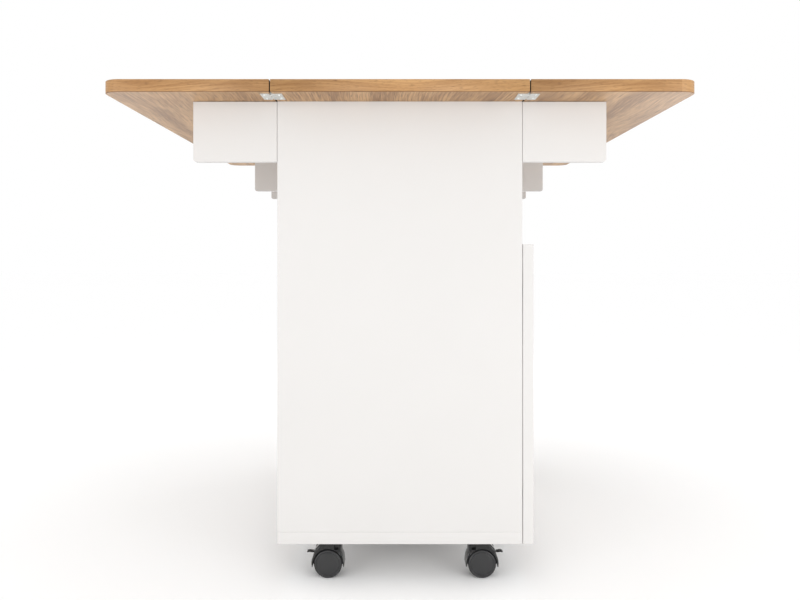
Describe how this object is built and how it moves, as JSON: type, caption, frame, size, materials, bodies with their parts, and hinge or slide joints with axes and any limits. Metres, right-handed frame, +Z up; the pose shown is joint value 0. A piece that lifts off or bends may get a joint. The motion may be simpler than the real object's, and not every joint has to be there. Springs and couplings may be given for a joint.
{
  "type": "drop-leaf kitchen island",
  "caption": "Kitchen island on casters: oak-look worktop with lifting side leaves on fold-out brackets, over drawers, a double-door cupboard and an open shelf bay.",
  "frame": {"origin": "on the floor under the centre of the open worktop", "axes": "+Z up, +X along the cabinet to the open bay's end, doors and drawers face -Y"},
  "size_m": [1.122, 1.028, 0.9],
  "materials": {
    "oak_board": "matt foil with oak grain",
    "white_board": "matt white lacquered board",
    "drawer_board": "matt off-white foil",
    "zinc_steel": "zinc plated",
    "handle_metal": "satin nickel",
    "black_plastic": "moulded",
    "wheel_plastic": "moulded"
  },
  "bodies": {
    "cabinet": {"top_panel": "oak_board", "leaf_hinge_bases": "zinc_steel", "base_board": "white_board", "end_panel_near": "white_board", "end_panel_far": "white_board", "partition": "white_board", "upper_decks": "white_board", "dividers": "white_board", "front_rails": "white_board", "back_rails": "white_board", "back_panel": "white_board", "shelf_near": "white_board", "shelf_far": "white_board", "shelf_pins": "zinc_steel", "assembly_screws": "zinc_steel", "bracket_hinge_bases": "zinc_steel", "hinge_arms": "zinc_steel", "runner_channels": "zinc_steel", "caster_plates": "zinc_steel"},
    "front_leaf": {"leaf_front": "oak_board", "leaf_wings_front": "zinc_steel"},
    "back_leaf": {"leaf_back": "oak_board", "leaf_wings_back": "zinc_steel"},
    "support_front_near": {"bracket_front_near": "white_board", "wing_front_near": "zinc_steel"},
    "support_front_mid": {"bracket_front_mid": "white_board", "wing_front_mid": "zinc_steel"},
    "support_front_far": {"bracket_front_far": "white_board", "wing_front_far": "zinc_steel"},
    "support_back_near": {"bracket_back_near": "white_board", "wing_back_near": "zinc_steel"},
    "support_back_mid": {"bracket_back_mid": "white_board", "wing_back_mid": "zinc_steel"},
    "support_back_far": {"bracket_back_far": "white_board", "wing_back_far": "zinc_steel"},
    "near_door": {"door_near": "white_board", "hinge_cups_near": "zinc_steel", "door_handle_near": "handle_metal"},
    "far_door": {"door_far": "white_board", "hinge_cups_far": "zinc_steel", "door_handle_far": "handle_metal"},
    "wide_drawer": {"drawer_front_wide": "white_board", "drawer_box_wide": "drawer_board", "drawer_handle_wide": "handle_metal", "drawer_slides_wide": "zinc_steel"},
    "narrow_drawer": {"drawer_front_narrow": "white_board", "drawer_box_narrow": "drawer_board", "drawer_handle_narrow": "handle_metal", "drawer_slides_narrow": "zinc_steel"},
    "caster_near_front": {"hood_near_front": "black_plastic"},
    "wheel_pair_near_front": {"wheels_near_front": "wheel_plastic"},
    "brake_front": {"brake_lever_front": "black_plastic"},
    "caster_near_back": {"hood_near_back": "black_plastic"},
    "wheel_pair_near_back": {"wheels_near_back": "wheel_plastic"},
    "brake_back": {"brake_lever_back": "black_plastic"},
    "caster_far_front": {"hood_far_front": "black_plastic"},
    "wheel_pair_far_front": {"wheels_far_front": "wheel_plastic"},
    "caster_far_back": {"hood_far_back": "black_plastic"},
    "wheel_pair_far_back": {"wheels_far_back": "wheel_plastic"}
  },
  "joints": [
    {"name": "front_leaf_lift", "type": "hinge", "parent": "cabinet", "child": "front_leaf", "pos_m": [0, -0.224, 0.8792], "axis": [-1, 0, 0], "range_deg": [0, 4]},
    {"name": "back_leaf_lift", "type": "hinge", "parent": "cabinet", "child": "back_leaf", "pos_m": [0, 0.224, 0.8792], "axis": [1, 0, 0], "range_deg": [0, 4]},
    {"name": "support_front_near_fold", "type": "hinge", "parent": "cabinet", "child": "support_front_near", "pos_m": [-0.4538, -0.201, 0.82275], "axis": [0, 0, 1], "range_deg": [0, 90]},
    {"name": "support_front_mid_fold", "type": "hinge", "parent": "cabinet", "child": "support_front_mid", "pos_m": [0.1728, -0.201, 0.82275], "axis": [0, 0, -1], "range_deg": [0, 90]},
    {"name": "support_front_far_fold", "type": "hinge", "parent": "cabinet", "child": "support_front_far", "pos_m": [0.4538, -0.201, 0.82275], "axis": [0, 0, -1], "range_deg": [0, 90]},
    {"name": "support_back_near_fold", "type": "hinge", "parent": "cabinet", "child": "support_back_near", "pos_m": [-0.4538, 0.201, 0.82275], "axis": [0, 0, -1], "range_deg": [0, 90]},
    {"name": "support_back_mid_fold", "type": "hinge", "parent": "cabinet", "child": "support_back_mid", "pos_m": [0.1728, 0.201, 0.82275], "axis": [0, 0, 1], "range_deg": [0, 90]},
    {"name": "support_back_far_fold", "type": "hinge", "parent": "cabinet", "child": "support_back_far", "pos_m": [0.4538, 0.201, 0.82275], "axis": [0, 0, 1], "range_deg": [0, 90]},
    {"name": "near_door_swing", "type": "hinge", "parent": "cabinet", "child": "near_door", "pos_m": [-0.4695, -0.2347, 0.345], "axis": [0, 0, -1], "range_deg": [0, 95]},
    {"name": "far_door_swing", "type": "hinge", "parent": "cabinet", "child": "far_door", "pos_m": [0.1885, -0.2347, 0.345], "axis": [0, 0, 1], "range_deg": [0, 95]},
    {"name": "wide_drawer_slide", "type": "slide", "parent": "cabinet", "child": "wide_drawer", "axis": [0, -1, 0], "range_m": [0, 0.25]},
    {"name": "narrow_drawer_slide", "type": "slide", "parent": "cabinet", "child": "narrow_drawer", "axis": [0, -1, 0], "range_m": [0, 0.25]},
    {"name": "caster_near_front_swivel", "type": "hinge", "parent": "cabinet", "child": "caster_near_front", "pos_m": [-0.4275, -0.135, 0.06], "axis": [0, 0, 1], "continuous": true},
    {"name": "wheel_pair_near_front_spin", "type": "hinge", "parent": "caster_near_front", "child": "wheel_pair_near_front", "pos_m": [-0.4275, -0.1526, 0.026], "axis": [1, 0, 0], "continuous": true},
    {"name": "brake_front_press", "type": "hinge", "parent": "caster_near_front", "child": "brake_front", "pos_m": [-0.4275, -0.1681, 0.0545], "axis": [1, 0, 0], "range_deg": [0, 10]},
    {"name": "caster_near_back_swivel", "type": "hinge", "parent": "cabinet", "child": "caster_near_back", "pos_m": [-0.4275, 0.1154, 0.06], "axis": [0, 0, 1], "continuous": true},
    {"name": "wheel_pair_near_back_spin", "type": "hinge", "parent": "caster_near_back", "child": "wheel_pair_near_back", "pos_m": [-0.4275, 0.133, 0.026], "axis": [1, 0, 0], "continuous": true},
    {"name": "brake_back_press", "type": "hinge", "parent": "caster_near_back", "child": "brake_back", "pos_m": [-0.4275, 0.1485, 0.0545], "axis": [-1, 0, 0], "range_deg": [0, 10]},
    {"name": "caster_far_front_swivel", "type": "hinge", "parent": "cabinet", "child": "caster_far_front", "pos_m": [0.4275, -0.135, 0.06], "axis": [0, 0, 1], "continuous": true},
    {"name": "wheel_pair_far_front_spin", "type": "hinge", "parent": "caster_far_front", "child": "wheel_pair_far_front", "pos_m": [0.4275, -0.1526, 0.026], "axis": [1, 0, 0], "continuous": true},
    {"name": "caster_far_back_swivel", "type": "hinge", "parent": "cabinet", "child": "caster_far_back", "pos_m": [0.4275, 0.1154, 0.06], "axis": [0, 0, 1], "continuous": true},
    {"name": "wheel_pair_far_back_spin", "type": "hinge", "parent": "caster_far_back", "child": "wheel_pair_far_back", "pos_m": [0.4275, 0.133, 0.026], "axis": [1, 0, 0], "continuous": true}
  ]
}
